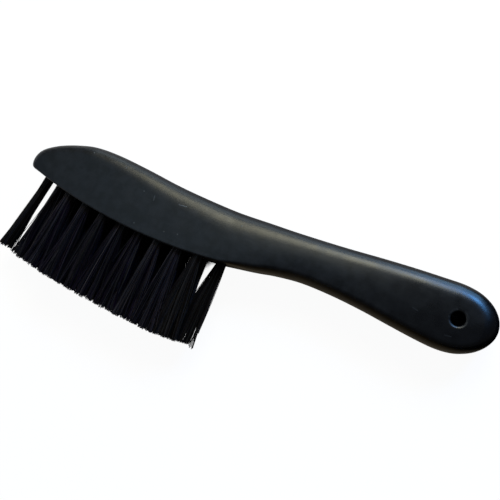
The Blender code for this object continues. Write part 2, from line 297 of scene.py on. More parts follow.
# Lamps: direction round the brush and above the floor in degrees, where 0 stands at +X and 90 at +Y,
# width and height in metres, strength and colour
LAMP_DISTANCE = 900 * MM
LAMPS = (
    ("warm_window", 101, 45, (0.38, 0.46), 16.0, (1.0, 0.96, 0.7)),
    ("warm_ceiling", 118, 66, (0.4, 0.22), 1.2, (1.0, 0.96, 0.74)),
    ("blue_window", 76, 35, (0.4, 0.34), 16.0, (0.2, 0.47, 1.0)),
    ("blue_gap", 66, 40, (0.14, 0.24), 62.0, (0.1, 0.41, 1.0)),
    ("cool_side", 167, 69, (0.8, 0.42), 1.15, (0.56, 0.8, 1.0)),
    ("low_side", 195, 22, (1.3, 0.4), 1.7, (0.8, 0.9, 1.0)),
    ("grey_back", 106, 13, (0.7, 0.35), 3.5, (0.8, 0.94, 1.0)),
    ("blue_back", 78, 13, (0.42, 0.35), 9.0, (0.22, 0.55, 1.0)),
)
WORLD_COLOUR = (0.97, 0.97, 1.0, 1)
WORLD_STRENGTH = 0.11

# Floor, and how much of what the camera sees of it is its own even white
FLOOR_HALF = 3000 * MM
FLOOR_CLEARANCE = 0.1 * MM
FLOOR_COLOUR = (0.85, 0.85, 0.85, 1)
GLOW_SHARE = 0.95
BLACK = (0, 0, 0, 1)
WHITE = (1, 1, 1, 1)
# How the floor darkens close to the brush: how far the shade reaches and between which open shares, as
# it is seen and as the lacquer mirrors it
SEEN_REACH = 9.5 * MM
SEEN_SHARES = (0.32, 0.42)
DEEP_REACH = 13 * MM
DEEP_SHARES = (0.3, 0.8)
SHADE_SAMPLES = 32
# The mirrored floor has a pool of shade in front of the brush: its middle, its half sizes, its tone and
# how far beyond its edge the floor is white again. Past the butt the mirrored floor is black
POOL_CENTRE = (100 * MM, -790 * MM, 0)
POOL_HALF = (110 * MM, 750 * MM, 0)
POOL_SHADE = (0.085, 0.058, 0.021, 1)
POOL_FADE = 250 * MM
# The black past the butt is painted shade in what the lacquer mirrors
POOL_END = (104 * MM, 132 * MM)


# Common shapes


def arc_rise(x, radius):
    """How far an arc that is lowest at zero has risen at x."""
    return radius - math.sqrt(radius * radius - x * x)


def blend(first, second, share):
    """A tuple of sizes, the given share of the way from the first to the second."""
    return tuple(a + (b - a) * share for a, b in zip(first, second))


def smooth_step(value, low, high):
    """From nothing to one as a value goes from low to high, without a kink at either end."""
    share = min(1.0, max(0.0, (value - low) / (high - low)))
    return share * share * (3 - 2 * share)


def circle(centre, radius, sides):
    """A level ring of points round a centre."""
    x, y, z = centre
    turns = [2 * math.pi * i / sides for i in range(sides)]
    return [(x + radius * math.cos(turn), y + radius * math.sin(turn), z) for turn in turns]


def skin(bm, rings):
    """Fills the space between rings of vertices, each with as many, with four-sided faces."""
    for low, high in zip(rings, rings[1:]):
        for i in range(len(low)):
            bm.faces.new((low[i - 1], low[i], high[i], high[i - 1]))


def loft(bm, rings):
    """Joins rings of points, each with as many points, into one closed solid, and returns its rings."""
    levels = [[bm.verts.new(point) for point in ring] for ring in rings]
    bm.faces.new(levels[0])
    bm.faces.new(levels[-1])
    skin(bm, levels)
    return levels


def finish_mesh(name, bm, place):
    """Turns a bmesh, moved to its place in the frame, into a smooth shaded object."""
    bmesh.ops.recalc_face_normals(bm, faces=bm.faces)
    bmesh.ops.transform(bm, matrix=Matrix.Translation(place), verts=bm.verts)
    mesh = bpy.data.meshes.new(name)
    bm.to_mesh(mesh)
    bm.free()
    mesh.shade_smooth()
    mesh.set_sharp_from_angle(angle=SMOOTH_ANGLE)
    obj = bpy.data.objects.new(name, mesh)
    bpy.context.scene.collection.objects.link(obj)
    return obj


def cut(obj, cutter):
    """Takes one closed mesh out of another and deletes the cutter."""
    modifier = obj.modifiers.new(cutter.name, "BOOLEAN")
    modifier.operation = "DIFFERENCE"
    modifier.solver = "EXACT"
    modifier.object = cutter
    bpy.context.view_layer.update()
    shape = obj.evaluated_get(bpy.context.evaluated_depsgraph_get())
    cut_mesh = bpy.data.meshes.new_from_object(shape)
    obj.modifiers.clear()
    obj.data = cut_mesh
    bpy.data.objects.remove(cutter)
    cut_mesh.shade_smooth()
    cut_mesh.set_sharp_from_angle(angle=SMOOTH_ANGLE)


def add_piece(obj, material, slot, *nodes):
    """Puts a finished piece on the body, in its material, in place of the named solids."""
    obj.data.materials.clear()
    obj.data.materials.append(material)
    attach(obj, "root")
    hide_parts(*nodes)


# Board


def land_points():
    """The bristle land, from toe to heel: x, y, and the edge's reach and depth."""
    points = []
    for i in range(LAND_STEPS + 1):
        x = -LAND_TO_TOE + (LAND_TO_HEEL + LAND_TO_TOE) * i / LAND_STEPS
        points.append((x, arc_rise(x, LAND_RADIUS), *LAND_EDGE))
    return points


def nose_points():
    """The nose, from the land's end up round its tip."""
    toe_rise = arc_rise(LAND_TO_TOE, LAND_RADIUS)
    points = []
    for (along, up), edge_share in zip(NOSE_SHARES, NOSE_EDGE_SHARES):
        x = -LAND_TO_TOE - NOSE_OVERHANG * along
        points.append((x, toe_rise + HEAD_HEIGHT * up, *blend(LAND_EDGE, NOSE_EDGE, edge_share)))
    return points


def back_points():
    """The head's back, from the nose to above the heel."""
    nose = -LAND_TO_TOE - NOSE_OVERHANG
    points = []
    for along, up in BACK_SHARES:
        edge = blend(NOSE_EDGE, BACK_EDGE, along)
        points.append((nose + (LAND_TO_HEEL - nose) * along, HEAD_HEIGHT * up, *edge))
    return points


def handle_points(side):
    """One edge of the handle, heel to widest grip: side is +1 for the back, -1 for the underside."""
    widest = HANDLE_LENGTH - BUTT_REACH
    start, full = (BACK_EDGE, HANDLE_BACK_EDGE) if side > 0 else (HEEL_EDGE, UNDERSIDE_EDGE)
    points = []
    for along, rise, swell in HANDLE_SHARES:
        half_depth = (NECK_DEPTH + (GRIP_DEPTH - NECK_DEPTH) * swell) / 2
        y = HANDLE_RISE * rise + side * half_depth
        edge = blend(start, full, min(1.0, along / HANDLE_FULL_SHARE))
        points.append((LAND_TO_HEEL + widest * along, y, *edge))
    return points


def butt_height():
    """How high the handle's middle line has risen where the butt begins."""
    return HANDLE_RISE * HANDLE_SHARES[-1][1]


def butt_points():
    """The half ellipse that ends the handle, from its back round to its underside."""
    widest = LAND_TO_HEEL + HANDLE_LENGTH - BUTT_REACH
    middle = butt_height()
    points = []
    for degrees in BUTT_ANGLES:
        angle = math.radians(degrees)
        spine = middle + (HANDLE_RISE - middle) * math.cos(angle)
        x = widest + BUTT_REACH * math.cos(angle)
        edge = blend(UNDERSIDE_EDGE, HANDLE_BACK_EDGE, smooth_step(math.sin(angle), *BUTT_EDGE_TURN))
        points.append((x, spine + GRIP_DEPTH / 2 * math.sin(angle), *edge))
    return points


def curve_between(before, start, end, after, share):
    """A point of the smooth curve through four points; the edge sizes run straight from start to end."""
    point = []
    for axis in (0, 1):
        a, b, c, d = before[axis], start[axis], end[axis], after[axis]
        bend = 2 * a - 5 * b + 4 * c - d
        twist = 3 * b - 3 * c + d - a
        point.append(b + share / 2 * (c - a + share * (bend + share * twist)))
    return (*point, *blend(start[2:], end[2:], share))


def smooth_chain(chain):
    """The smooth curve through a chain's points but its first and last, which only steer it."""
    curve = []
    for i in range(1, len(chain) - 2):
        for step in range(CURVE_STEPS):
            curve.append(curve_between(*chain[i - 1 : i + 3], step / CURVE_STEPS))
    return curve + [chain[-2]]


def spaced_points(points, count):
    """Points spread along a polyline, closer together towards its ends."""
    lengths = [0.0]
    for a, b in zip(points, points[1:]):
        lengths.append(lengths[-1] + math.dist(a[:2], b[:2]))
    found = []
    span = 0
    for i in range(count + 1):
        share = i / count
        eased = (share + (1 - math.cos(math.pi * share)) / 2) / 2
        target = lengths[-1] * eased
        while span < len(points) - 2 and lengths[span + 1] < target:
            span += 1
        part = (target - lengths[span]) / (lengths[span + 1] - lengths[span])
        found.append(blend(points[span], points[span + 1], min(1.0, part)))
    return found


def board_sides():
    """The board's outline from the tip of the nose to the tip of the butt, under and over."""
    land, nose, butt = land_points(), nose_points(), butt_points()
    middle = len(butt) // 2
    ahead = [nose[NOSE_TIP - 1]]
    over = nose[NOSE_TIP:] + back_points() + handle_points(1) + butt[: middle + 1]
    before_land = nose[NOSE_TIP::-1]
    after_land = handle_points(-1) + butt[: middle - 1 : -1]
    toe = smooth_chain([nose[NOSE_TIP + 1]] + before_land + land[:2])[:-CURVE_STEPS]
    heel = smooth_chain(land[-2:] + after_land + [butt[middle - 1]])
    return (
        spaced_points(toe[:-1] + land + heel[1:], SIDE_STEPS),
        spaced_points(smooth_chain(ahead + over + [butt[middle + 1]]), SIDE_STEPS),
    )


def crown_slope(x):
    """How steeply the broad face falls to its edges: most on the handle's waist."""
    full = LAND_TO_HEEL + HANDLE_LENGTH * HANDLE_FULL_SHARE
    share = smooth_step(x, LAND_TO_HEEL * CROWN_START_SHARE, full)
    slope = HEAD_CROWN_SLOPE + (HANDLE_CROWN_SLOPE - HEAD_CROWN_SLOPE) * share
    grip = smooth_step((x - LAND_TO_HEEL) / HANDLE_LENGTH, *BUTT_CROWN_SPAN)
    return slope + (BUTT_CROWN_SLOPE - slope) * grip


def crown_height(x, width):
    """How far the middle of a broad face stands above its two edges, a width apart."""
    return crown_slope(x) * width / 4


def edge_curve(point, angle):
    """How far over the face and how far up the side a rounded edge has come at an angle."""
    reach, depth, power = point[2:]
    return reach * (1 - math.cos(angle)), depth * math.sin(angle) ** (2 / power)


def edge_end(point):
    """The angle at which the rounded edge runs out into the crowned face."""
    x, _, reach, depth, power = point
    return math.atan2(2 * depth / power, crown_slope(x) * reach)


def inset(point, normal, angle):
    """A point of the outline moved in to where its rounded edge has come at an angle."""
    across = edge_curve(point, angle)[0]
    return Vector((point[0] + normal[0] * across, point[1] + normal[1] * across))


def add_face_grid(bm, ring, partner, loop, side):
    """Fills a broad face with crowned rungs between the two sides of its ring."""
    half = len(ring) // 2
    rungs = [[ring[0]]]
    for i in range(1, half):
        under, over = ring[i], ring[partner[i]]
        width = (over.co - under.co).length
        rise = side * crown_height(loop[i][0], width)
        rung = [under]
        for step in range(1, FACE_STEPS):
            share = step / FACE_STEPS
            place = under.co.lerp(over.co, share)
            place.z += 4 * rise * share * (1 - share)
            rung.append(bm.verts.new(place))
        rungs.append(rung + [over])
    rungs.append([ring[half]])
    for a, b in zip(rungs, rungs[1:]):
        for step in range(FACE_STEPS):
            corners = []
            for rung, place in ((a, step), (a, step + 1), (b, step + 1), (b, step)):
                vertex = rung[min(place, len(rung) - 1)]
                if vertex not in corners:
                    corners.append(vertex)
            bm.faces.new(corners)


def half_board(bm, loop, normals, partner, side):
    """One broad face with its rounded edge. Returns the ring where the edge meets the wall."""
    last = [inset(p, n, edge_end(p)) for p, n in zip(loop, normals)]
    rings = []
    for step in range(ROUNDING_STEPS + 1):
        ring = []
        for i, (point, normal) in enumerate(zip(loop, normals)):
            width = (last[i] - last[partner[i]]).length
            end = edge_end(point)
            angle = end * step / ROUNDING_STEPS
            below = edge_curve(point, end)[1] - edge_curve(point, angle)[1]
            fall = crown_height(point[0], width) + below
            place = inset(point, normal, angle)
            ring.append(bm.verts.new((*place, side * (THICKNESS / 2 - fall))))
        rings.append(ring)
    skin(bm, rings)
    add_face_grid(bm, rings[-1], partner, loop, side)
    return rings[0]


def board_mesh(bm):
    """The board's whole skin: both broad faces with their rounded edges, and the wall between them."""
    under, over = board_sides()
    loop = under + over[-2:0:-1]
    partner = [-i % len(loop) for i in range(len(loop))]
    normals = []
    for i in range(len(loop)):
        ahead, behind = loop[(i + 1) % len(loop)], loop[i - 1]
        along = Vector((ahead[0] - behind[0], ahead[1] - behind[1])).normalized()
        normals.append((-along.y, along.x))
    top = half_board(bm, loop, normals, partner, 1)
    bottom = half_board(bm, loop, normals, partner, -1)
    levels = [bottom]
    for step in range(1, WALL_STEPS):
        share = step / WALL_STEPS
        levels.append([bm.verts.new(a.co.lerp(b.co, share)) for a, b in zip(bottom, top)])
    skin(bm, levels + [top])


def hanging_centre():
    """The middle of the hanging hole, from the same point as the board's outline."""
    return LAND_TO_HEEL + HANDLE_LENGTH - HANGING_FROM_BUTT, butt_height()


def hanging_hole(bm):
    """The bore through the butt, with a rim worn round on both faces."""
    x, y = hanging_centre()
    rim = []
    for step in range(HANGING_EASE_STEPS + 1):
        angle = math.pi / 2 * step / HANGING_EASE_STEPS
        radius = HANGING_RADIUS + HANGING_EASE * (1 - math.cos(angle))
        rim.append((radius, THICKNESS / 2 - HANGING_EASE * (1 - math.sin(angle))))
    rim.append((HANGING_RADIUS + HANGING_EASE + OVERRUN, THICKNESS / 2 + OVERRUN))
    levels = [(radius, -z) for radius, z in reversed(rim)] + rim
    loft(bm, [circle((x, y, z), radius, HANGING_SIDES) for radius, z in levels])


def tuft_hole(bm, tuft):
    """The blind hole of one tuft, from its bottom to outside the land."""
    rings = []
    for out in (-HOLE_DEPTH, OVERRUN):
        flat = circle((0, 0, out), HOLE_RADIUS, HOLE_SIDES)
        rings.append([tuft.point(across, out, up) for across, up, out in flat])
    loft(bm, rings)


def add_board(places, place, material):
    """The board with its blind holes and its hanging hole cut out."""
    bm = bmesh.new()
    board_mesh(bm)
    board = finish_mesh("lacquered_board", bm, place)
    holes = bmesh.new()
    for tuft in places:
        tuft_hole(holes, tuft)
    cut(board, finish_mesh("tuft_holes", holes, place))
    bore = bmesh.new()
    hanging_hole(bore)
    cut(board, finish_mesh("hanging_bore", bore, place))
    add_piece(board, material, "black_lacquer", "board")


# Tufts


class Tuft:
    """One tuft's place: its mouth on the land, its lean, and how its filaments spread to the tips."""

    def __init__(self, row, number, x, z):
        self.name = f"{row}_{number}"
        self.mouth = Vector((x, arc_rise(x, LAND_RADIUS), z))
        self.lean = x / FAN_RADIUS
        own_spread = SPREADS.get(self.name, PLAIN_SPREAD)
        self.drift, self.half_width, self.flare, self.side_bow = own_spread
        self.heel_flare = 1.0 if self.name in SPREADS else HEEL_FLARE
        self.pressed = PRESSED_TUFTS.get(self.name, 0.0)
        self.brown = BROWN_SHARE if self.name in BROWN_TUFTS else 0.0

    def point(self, across, out, up):
        """A place counted from the mouth: across the tuft, out of the hole and up."""
        along = Vector((math.sin(self.lean), -math.cos(self.lean), 0))
        side = Vector((math.cos(self.lean), math.sin(self.lean), 0))
        return self.mouth + side * across + along * out + Vector((0, 0, up))


def tufts():
    """Every tuft's place, row by row from the front."""
    found = []
    for row, side, first, count in ROWS:
        places = [(first + i) * PITCH for i in range(count)]
        if row == "middle":
            places.insert(0, places[0] - TOE_TUFT_SPACING)
        found.extend(Tuft(row, i + 1, x, side * ROW_SPACING) for i, x in enumerate(places))
    return found


def trim_height(x, z):
    """Where a filament is cut off, along an arc that follows the land."""
    height = arc_rise(x, LAND_RADIUS + BRISTLE_LENGTH) - BRISTLE_LENGTH - TRIM_TILT * x
    height += TRIM_WEAR * max(0.0, 1 - (x / TRIM_WEAR_HALF) ** 2)
    height -= TOE_DROP * smooth_step(-x, *TOE_DROP_SPAN)
    for place, depth in PARTINGS:
        aside = abs(x - place + PARTING_SLANT * z)
        height += depth * max(0.0, 1 - aside / PARTING_HALF_WIDTH)
    return height


def disc_spot(number, count):
    """One of a count of places spread evenly over a disc of radius one."""
    radius = math.sqrt((number + 0.5) / count)
    angle = number * GOLDEN_ANGLE
    return radius * math.cos(angle), radius * math.sin(angle)


def even_share(across):
    """Evens out places on a disc of radius one along one axis, so that a fan is as full at its edges."""
    across = min(1.0, max(-1.0, across))
    return (math.asin(across) + across * math.sqrt(1 - across * across)) * 2 / math.pi


class Lock:
    """A lock of filaments that cling together: its place in the tuft and the way it strays."""

    def __init__(self, number, chance):
        self.spot = disc_spot(number, LOCKS)
        self.across = chance.gauss(0, LOCK_DRIFT)
        self.up = chance.gauss(0, LOCK_DRIFT / 2)
        self.bow = chance.gauss(0, LOCK_BOW)
        self.short = abs(chance.gauss(0, LOCK_TRIM))
        lightness = chance.uniform(*PALE_LOCK_RANGE)
        self.pale = lightness if chance.random() < PALE_LOCK_SHARE else 0.0


def filament_path(tuft, spot, tip, bow, short):
    """Points down one filament, from its root in the hole to its tip.

    The spot is its place in a bundle of radius one, the tip its place at the end across the tuft and
    up, and short how far it stops before the trim line.
    """
    reach = tuft.mouth.y + BRISTLE_LENGTH
    end = tuft.point(tip[0] + tuft.drift, reach, tip[1])
    level = tuft.point(tip[0] + tuft.drift, 0, tip[1]).y
    length = (level - trim_height(end.x, end.z) - short) / math.cos(tuft.lean)
    root = Vector((spot[0] * (1 - tuft.pressed) - tuft.pressed, spot[1])) * BUNDLE_RADIUS
    toe_side, heel_side = (math.sqrt(max(0.0, side)) for side in (-spot[0], spot[0]))
    power = 1 + (tuft.flare - 1) * toe_side + (tuft.heel_flare - 1) * heel_side
    toe_share = max(0.0, BOWED_FROM_SHARE - spot[0]) / (BOWED_FROM_SHARE + 1)
    points = [tuft.point(root.x, -ROOT_DEPTH, root.y)]
    for step in range(FILAMENT_STEPS + 1):
        share = step / FILAMENT_STEPS
        bulge = math.sin(math.pi * share)
        place = root.lerp(Vector(tip), share**power) + Vector(bow) * bulge
        place.x += tuft.drift * share**power + tuft.side_bow * toe_share * bulge**3
        points.append(tuft.point(place.x, length * share, place.y))
    return points


def tuft_filament(tuft, number, locks, chance):
    """One filament of a tuft, drawn towards its lock or straying from it: its path, and how pale it is,
    with a painted highlight on the tuft's toe flank.
    """
    spot = Vector(disc_spot(number, FILAMENTS))
    lock = min(locks, key=lambda one: (Vector(one.spot) - spot).length)
    scatter = STRAY_SCATTER if chance.random() < STRAY_SHARE else TIP_SCATTER
    loose = LONE_LOOSENESS if tuft.name in LONE_HAIRS else 1.0
    drawn = spot.lerp(Vector(lock.spot), LOCK_PULL * loose)
    across = even_share(drawn.x) * tuft.half_width + (lock.across + chance.gauss(0, scatter)) * loose
    up = drawn.y * TIP_HALF_DEPTH + lock.up + chance.gauss(0, scatter / 2)
    room = THICKNESS / 2 - SIDE_PLAY
    up = min(room - tuft.mouth.z, max(-room - tuft.mouth.z, up))
    bow = ((lock.bow + chance.gauss(0, BOW)) * loose, chance.gauss(0, BOW))
    worn_from, worn_depth = WORN_TUFTS.get(tuft.name, (0.0, 0.0))
    worn = max(0.0, (even_share(drawn.x) - worn_from) / (1 - worn_from))
    short = lock.short + chance.random() ** 2 * RAGGEDNESS + worn * worn_depth
    # Filaments on the tuft's toe side are painted paler, as a highlight on that flank
    lit_flank = LIT_FLANK_SHARE * max(0.0, -spot.x)
    return filament_path(tuft, spot, (across, up), bow, short), min(1.0, lock.pale + lit_flank)


def lone_hairs(tuft):
    """Single hairs that stand off a lone tuft."""
    hairs = []
    for i, (across, longer) in enumerate(LONE_HAIRS.get(tuft.name, ())):
        spot = (math.cos(i * LONE_HAIR_TURN), math.sin(i * LONE_HAIR_TURN))
        hairs.append(filament_path(tuft, spot, (across, 0.0), (0.0, 0.0), -longer))
    return hairs


def add_filament(bm, points, radius, turn, pale, brown):
    """A thin closed rod along points, cut square, that keeps its tone and how far out it lies."""
    along = (points[-1] - points[1]).normalized()
    side = along.cross(Vector((0, 0, 1))).normalized()
    other = along.cross(side)
    rings = []
    for point in points:
        ring = []
        for i in range(FILAMENT_SIDES):
            angle = turn + 2 * math.pi * i / FILAMENT_SIDES
            ring.append(point + (side * math.cos(angle) + other * math.sin(angle)) * radius)
        rings.append(ring)
    pale_layer, brown_layer, out_layer = (bm.verts.layers.float.get(name) for name in TONE_LAYERS)
    for i, ring in enumerate(loft(bm, rings)):
        for vertex in ring:
            vertex[pale_layer] = pale
            vertex[brown_layer] = brown
            vertex[out_layer] = max(0, i - 1) / FILAMENT_STEPS


def add_tuft(tuft, place, material, chance):
    """One tuft of separate filaments, each a little off its even place."""
    bm = bmesh.new()
    for name in TONE_LAYERS:
        bm.verts.layers.float.new(name)
    locks = [Lock(number, chance) for number in range(LOCKS)]
    filaments = [tuft_filament(tuft, number, locks, chance) for number in range(FILAMENTS)]
    for path, pale in filaments:
        radius = FILAMENT_RADIUS * chance.uniform(*FILAMENT_PLAY)
        add_filament(bm, path, radius, chance.uniform(0, math.pi), pale, tuft.brown)
    for path in lone_hairs(tuft):
        add_filament(bm, path, LONE_HAIR_RADIUS, 0.0, 0.0, tuft.brown)
    bristles = finish_mesh(f"bristles_{tuft.name}", bm, place)
    add_piece(bristles, material, "black_bristle", f"tuft_{tuft.name}")


# Finishes


def add_node(tree, kind, inputs=None, **settings):
    """One shader node with its settings; an input is a value or another node's socket."""
    node = tree.nodes.new(kind)
    for name, value in settings.items():
        setattr(node, name, value)
    for name, value in (inputs or {}).items():
        if isinstance(value, bpy.types.NodeSocket):
            tree.links.new(value, node.inputs[name])
        else:
            node.inputs[name].default_value = value
    return node


def new_material(name):
    """An empty node material with its node tree and its Principled shader."""
    material = bpy.data.materials.new(name)
    material.use_nodes = True
    tree = material.node_tree
    return material, tree, tree.nodes["Principled BSDF"]


def new_group(name, inputs, output):
    """An empty shader node group with named inputs and one output, and its own sockets for them."""
    group = bpy.data.node_groups.new(name, "ShaderNodeTree")
    for socket, value in inputs.items():
        kind = "Vector" if isinstance(value, tuple) else "Float"
        item = group.interface.new_socket(name=socket, in_out="INPUT", socket_type=f"NodeSocket{kind}")
        item.default_value = value
    group.interface.new_socket(name=output, in_out="OUTPUT", socket_type="NodeSocketFloat")
    given = group.nodes.new("NodeGroupInput").outputs
    result = group.nodes.new("NodeGroupOutput").inputs[output]
    return group, given, result


def use_group(tree, group, where, values):
    """The output of a group that is placed in a material with values of its own."""
    return add_node(tree, "ShaderNodeGroup", {"Vector": where, **values}, node_tree=group).outputs[0]


def math_node(tree, operation, *values, clamp=False):
    """The result of an operation on numbers, each a value or another node's socket."""
    inputs = dict(enumerate(values))
    return add_node(tree, "ShaderNodeMath", inputs, operation=operation, use_clamp=clamp).outputs[0]


def vector_node(tree, operation, *values):
    """The result of an operation on vectors, a number where it measures."""
    node = add_node(tree, "ShaderNodeVectorMath", dict(enumerate(values)), operation=operation)
    return node.outputs["Value" if operation in ("DISTANCE", "DOT_PRODUCT", "LENGTH") else "Vector"]


def ramp_node(tree, value, low, high, to_low=0.0, to_high=1.0, smooth=True):
    """Takes a value from one range to another, held at its ends."""
    inputs = {"Value": value, "From Min": low, "From Max": high, "To Min": to_low, "To Max": to_high}
    kind = "SMOOTHSTEP" if smooth else "LINEAR"
    return add_node(tree, "ShaderNodeMapRange", inputs, interpolation_type=kind).outputs["Result"]


def colour_mix(tree, share, first, second):
    """A colour the given share of the way from the first to the second."""
    inputs = {0: share, 6: first, 7: second}
    return add_node(tree, "ShaderNodeMix", inputs, data_type="RGBA").outputs[2]


def object_place(tree):
    """The place of a shaded point, in the frame's axes."""
    return add_node(tree, "ShaderNodeTexCoord").outputs["Object"]


def attribute(tree, name):
    """What the filaments keep in one of their tone layers."""
    return add_node(tree, "ShaderNodeAttribute", attribute_name=name).outputs["Fac"]


def tone_group():
    """Slow unevenness between two values, as a sprayed or drawn surface has."""
    inputs = {"Vector": (0, 0, 0), "Scale": 1.0, "Low": 0.0, "High": 1.0}
    group, given, result = new_group("uneven_tone", inputs, "Value")
    pattern = {"Vector": given["Vector"], "Scale": given["Scale"], "Detail": TONE_DETAIL}
    noise = add_node(group, "ShaderNodeTexNoise", pattern)
    tone = ramp_node(group, noise.outputs["Fac"], *TONE_SPAN, given["Low"], given["High"])
    group.links.new(tone, result)
    return group


def grain_group():
    """The height of fine lines drawn out along one direction."""
    inputs = {"Vector": (0, 0, 0), "Stretch": (1, 1, 1), "Scale": 1.0, "Height": 1.0}
    group, given, result = new_group("drawn_grain", inputs, "Height")
    drawn = vector_node(group, "MULTIPLY", given["Vector"], given["Stretch"])
    pattern = {"Vector": drawn, "Scale": given["Scale"], "Detail": GRAIN_DETAIL}
    noise = add_node(group, "ShaderNodeTexNoise", pattern)
    group.links.new(math_node(group, "MULTIPLY", noise.outputs["Fac"], given["Height"]), result)
    return group


def dust_group():
    """Sparse small specks of dust."""
    inputs = {"Vector": (0, 0, 0), "Scale": 1.0, "Size": 0.1, "Share": 0.1}
    group, given, result = new_group("dust_specks", inputs, "Mask")
    pattern = {"Vector": given["Vector"], "Scale": given["Scale"]}
    cells = add_node(group, "ShaderNodeTexVoronoi", pattern)
    chosen = math_node(group, "GREATER_THAN", given["Share"], cells.outputs["Color"])
    half = math_node(group, "MULTIPLY", given["Size"], 0.5)
    near = ramp_node(group, cells.outputs["Distance"], half, given["Size"], 1.0, 0.0)
    group.links.new(math_node(group, "MULTIPLY", chosen, near), result)
    return group


def mark_group():
    """A straight mark from one point to another, or a spot where both are the same."""
    inputs = {"Vector": (0, 0, 0), "Start": (0, 0, 0), "End": (0, 0, 0), "Width": 1.0}
    group, given, result = new_group("handling_mark", inputs, "Mask")
    away = vector_node(group, "SUBTRACT", given["Vector"], given["Start"])
    line = vector_node(group, "SUBTRACT", given["End"], given["Start"])
    reached = vector_node(group, "DOT_PRODUCT", away, line)
    whole = vector_node(group, "DOT_PRODUCT", line, line)
    along = math_node(group, "DIVIDE", reached, whole, clamp=True)
    foot = add_node(group, "ShaderNodeVectorMath", {0: line, "Scale": along}, operation="SCALE")
    aside = vector_node(group, "DISTANCE", away, foot.outputs["Vector"])
    half = math_node(group, "MULTIPLY", given["Width"], 0.5)
    group.links.new(ramp_node(group, aside, half, given["Width"], 1.0, 0.0), result)
    return group


def dress_shader(tree, shader, colour, roughness, height):
    """Gives a material's shader its colour, its roughness and the fine relief of its surface."""
    bump = add_node(tree, "ShaderNodeBump", {"Height": height, "Distance": 1.0})
    tree.links.new(colour, shader.inputs["Base Color"])
    tree.links.new(roughness, shader.inputs["Roughness"])
    tree.links.new(bump.outputs["Normal"], shader.inputs["Normal"])


def hole_wear(tree, flat, place, tone):
    """A ring worn pale round the hanging hole, uneven along its length."""
    x, y = hanging_centre()
    away = vector_node(tree, "DISTANCE", flat, (x + place.x, y + place.y, 0))
    rim = HANGING_RADIUS + HANGING_EASE
    inner = ramp_node(tree, away, HANGING_RADIUS, HANGING_RADIUS + HANGING_EASE / 2)
    outer = ramp_node(tree, away, rim - HANGING_EASE / 2, rim + HANGING_EASE / 2, 1.0, 0.0)
    return math_node(tree, "MULTIPLY", math_node(tree, "MULTIPLY", inner, outer), tone)


def grip_polish(tree, where, place):
    """How far the handle is polished, from nothing on the head to one at the butt."""
    along = add_node(tree, "ShaderNodeSeparateXYZ", {"Vector": where}).outputs["X"]
    start, end = (place.x + LAND_TO_HEEL + HANDLE_LENGTH * share for share in POLISHED_SPAN)
    return ramp_node(tree, along, start, end)


def face_marks(tree, flat, place, mark):
    """The specks and scratches on the upper broad face, as one mask."""
    origin = Vector((place.x, place.y, 0))
    total = 0.0
    lines = [(*spot, *spot, SPECK_SHARE, SPECK_WIDTH) for spot in SPECKS]
    lines += [(*line, SCRATCH_WIDTH) for line in SCRATCHES]
    for x1, y1, x2, y2, share, width in lines:
        start, end = origin + Vector((x1, y1, 0)), origin + Vector((x2, y2, 0))
        one = use_group(tree, mark, flat, {"Start": start, "End": end, "Width": width})
        total = math_node(tree, "MAXIMUM", math_node(tree, "MULTIPLY", one, share), total)
    return total


def lacquer_colour(tree, where, groups, polish, worn, marks):
    """Deep black, a little dusty in patches, darker where it is polished and paler where it is worn."""
    tone = use_group(tree, groups["tone"], where, LACQUER_TONE)
    dust = use_group(tree, groups["dust"], where, LACQUER_DUST)
    colour = colour_mix(tree, tone, LACQUER_DEEP, LACQUER_DUSTY)
    colour = colour_mix(tree, polish, colour, POLISHED_LACQUER)
    colour = colour_mix(tree, worn, colour, WORN_LACQUER)
    colour = colour_mix(tree, math_node(tree, "MULTIPLY", dust, LACQUER_DUST_SHARE), colour, DUST)
    return colour_mix(tree, math_node(tree, "MULTIPLY", marks, MARK_SHARE), colour, DUST)


def lacquer_material(place, groups):
    """Black satin lacquer, sprayed over wood whose grain still shows a little, with specks and wear."""
    material, tree, shader = new_material("black_lacquer")
    where = object_place(tree)
    flat = vector_node(tree, "MULTIPLY", where, (1, 1, 0))
    height = vector_node(tree, "DOT_PRODUCT", where, (0, 0, 1))
    upper = ramp_node(tree, height, place.z, place.z + UPPER_FADE)
    wear_tone = use_group(tree, groups["tone"], where, WEAR_TONE)
    worn = math_node(tree, "MULTIPLY", hole_wear(tree, flat, place, wear_tone), upper)
    marks = math_node(tree, "MULTIPLY", face_marks(tree, flat, place, groups["mark"]), upper)
    polish = grip_polish(tree, where, place)
    rough = use_group(tree, groups["tone"], where, LACQUER_ROUGHNESS)
    rough = math_node(tree, "SUBTRACT", rough, math_node(tree, "MULTIPLY", polish, POLISH))
    rough = math_node(tree, "ADD", rough, math_node(tree, "MULTIPLY", worn, WORN_ROUGHNESS))
    rough = math_node(tree, "ADD", rough, math_node(tree, "MULTIPLY", marks, MARK_ROUGHNESS), clamp=True)
    grain = use_group(tree, groups["grain"], where, WOOD_GRAIN)
    relief = math_node(tree, "ADD", grain, use_group(tree, groups["grain"], where, SPRAY_PEEL))
    relief = math_node(tree, "ADD", relief, math_node(tree, "MULTIPLY", marks, MARK_HEIGHT))
    colour = lacquer_colour(tree, where, groups, polish, worn, marks)
    dress_shader(tree, shader, colour, rough, relief)
    shader.inputs["IOR"].default_value = LACQUER_IOR
    return material


